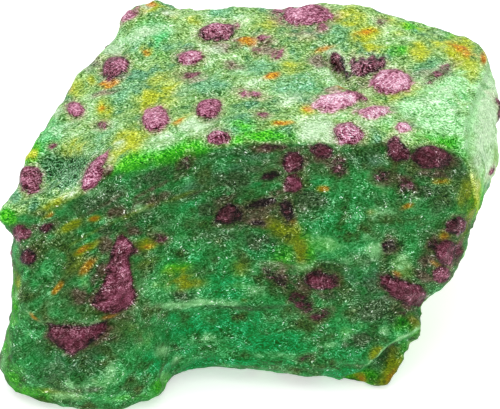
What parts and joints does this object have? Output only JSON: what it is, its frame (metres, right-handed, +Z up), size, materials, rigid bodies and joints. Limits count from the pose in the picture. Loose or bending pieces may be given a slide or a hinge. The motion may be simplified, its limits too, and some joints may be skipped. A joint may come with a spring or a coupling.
{
  "type": "raw ruby in fuchsite",
  "caption": "Palm-sized raw block of green mica rock crowded with purple-red crystals, flat underneath, with a rounded foot at the front left.",
  "frame": {"origin": "centre of the block's footprint box, on the surface it rests on", "axes": "+X along the longest extent, to the right seen from the front, +Y from the front face to the back, +Z up"},
  "size_m": [0.0792, 0.06, 0.0429],
  "materials": {
    "stone": "satin, with a fine mica sparkle"
  },
  "bodies": {
    "root": {"stone": "stone"}
  },
  "joints": []
}
